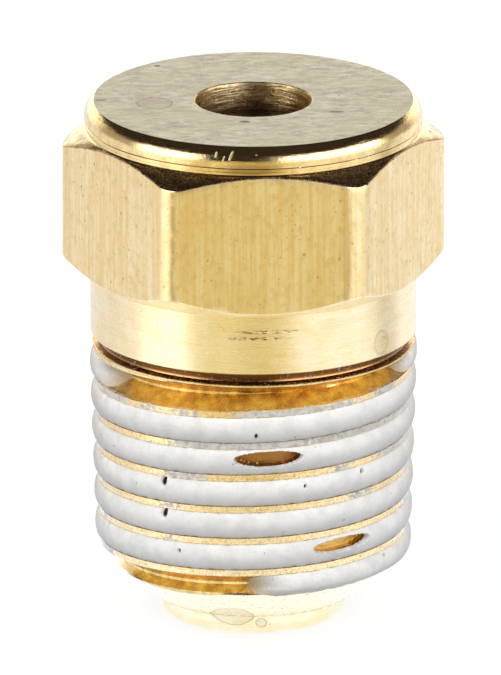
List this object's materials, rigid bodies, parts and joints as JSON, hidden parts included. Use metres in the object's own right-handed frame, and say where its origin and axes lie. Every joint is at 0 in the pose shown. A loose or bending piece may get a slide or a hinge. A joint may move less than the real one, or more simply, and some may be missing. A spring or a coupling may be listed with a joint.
{
  "type": "automatic air vent",
  "caption": "Hexagon plug air vent with taper pipe thread; swelling fibre discs lift a valve pin to shut the outlet.",
  "frame": {"origin": "on the axis, at the bottom face of the nose, which points into the pipework", "axes": "+Z along the axis towards the outlet in the top face; -Y is the outward normal of one hexagon flat, and +X passes through a hexagon corner"},
  "size_m": [0.0162, 0.0142, 0.0225],
  "materials": {
    "body_brass": "drawn and turned brass, flats with fine lengthwise lines, matt faced top, polished edge",
    "works_brass": "fine turned brass",
    "sealant": "dry pale grey thread sealant, slightly glossy, with pinholes",
    "fibre": "red vulcanised fibre, dull, pale at the punched edges",
    "seal_rubber": "matt black rubber",
    "steel": "bright stainless steel"
  },
  "bodies": {
    "root": {"body": "body_brass", "thread_sealant": "sealant", "return_spring": "steel", "support_plate": "works_brass", "strainer_screen": "steel", "retaining_ring": "works_brass", "fibre_disc_1": "fibre"},
    "disc_2": {"fibre_disc_2": "fibre"},
    "disc_3": {"fibre_disc_3": "fibre"},
    "disc_4": {"fibre_disc_4": "fibre"},
    "disc_5": {"fibre_disc_5": "fibre"},
    "disc_6": {"fibre_disc_6": "fibre"},
    "disc_7": {"fibre_disc_7": "fibre"},
    "disc_8": {"fibre_disc_8": "fibre"},
    "disc_9": {"fibre_disc_9": "fibre"},
    "disc_10": {"fibre_disc_10": "fibre"},
    "disc_11": {"fibre_disc_11": "fibre"},
    "disc_12": {"fibre_disc_12": "fibre"},
    "valve": {"valve_pin": "works_brass", "valve_seal": "seal_rubber", "push_plate": "works_brass"}
  },
  "joints": [
    {"name": "disc_1_swell", "type": "slide", "parent": "root", "child": "disc_2", "axis": [0, 0, 1], "range_m": [0, 0.0001]},
    {"name": "disc_2_swell", "type": "slide", "parent": "disc_2", "child": "disc_3", "axis": [0, 0, 1], "range_m": [0, 0.0001]},
    {"name": "disc_3_swell", "type": "slide", "parent": "disc_3", "child": "disc_4", "axis": [0, 0, 1], "range_m": [0, 0.0001]},
    {"name": "disc_4_swell", "type": "slide", "parent": "disc_4", "child": "disc_5", "axis": [0, 0, 1], "range_m": [0, 0.0001]},
    {"name": "disc_5_swell", "type": "slide", "parent": "disc_5", "child": "disc_6", "axis": [0, 0, 1], "range_m": [0, 0.0001]},
    {"name": "disc_6_swell", "type": "slide", "parent": "disc_6", "child": "disc_7", "axis": [0, 0, 1], "range_m": [0, 0.0001]},
    {"name": "disc_7_swell", "type": "slide", "parent": "disc_7", "child": "disc_8", "axis": [0, 0, 1], "range_m": [0, 0.0001]},
    {"name": "disc_8_swell", "type": "slide", "parent": "disc_8", "child": "disc_9", "axis": [0, 0, 1], "range_m": [0, 0.0001]},
    {"name": "disc_9_swell", "type": "slide", "parent": "disc_9", "child": "disc_10", "axis": [0, 0, 1], "range_m": [0, 0.0001]},
    {"name": "disc_10_swell", "type": "slide", "parent": "disc_10", "child": "disc_11", "axis": [0, 0, 1], "range_m": [0, 0.0001]},
    {"name": "disc_11_swell", "type": "slide", "parent": "disc_11", "child": "disc_12", "axis": [0, 0, 1], "range_m": [0, 0.0001]},
    {"name": "disc_12_swell", "type": "slide", "parent": "disc_12", "child": "valve", "axis": [0, 0, 1], "range_m": [0, 0.0001], "deforming": ["return_spring"]}
  ],
  "couplings": [
    {"joint": "disc_2_swell", "follows": "disc_1_swell", "ratio": 1},
    {"joint": "disc_3_swell", "follows": "disc_1_swell", "ratio": 1},
    {"joint": "disc_4_swell", "follows": "disc_1_swell", "ratio": 1},
    {"joint": "disc_5_swell", "follows": "disc_1_swell", "ratio": 1},
    {"joint": "disc_6_swell", "follows": "disc_1_swell", "ratio": 1},
    {"joint": "disc_7_swell", "follows": "disc_1_swell", "ratio": 1},
    {"joint": "disc_8_swell", "follows": "disc_1_swell", "ratio": 1},
    {"joint": "disc_9_swell", "follows": "disc_1_swell", "ratio": 1},
    {"joint": "disc_10_swell", "follows": "disc_1_swell", "ratio": 1},
    {"joint": "disc_11_swell", "follows": "disc_1_swell", "ratio": 1},
    {"joint": "disc_12_swell", "follows": "disc_1_swell", "ratio": 1}
  ]
}
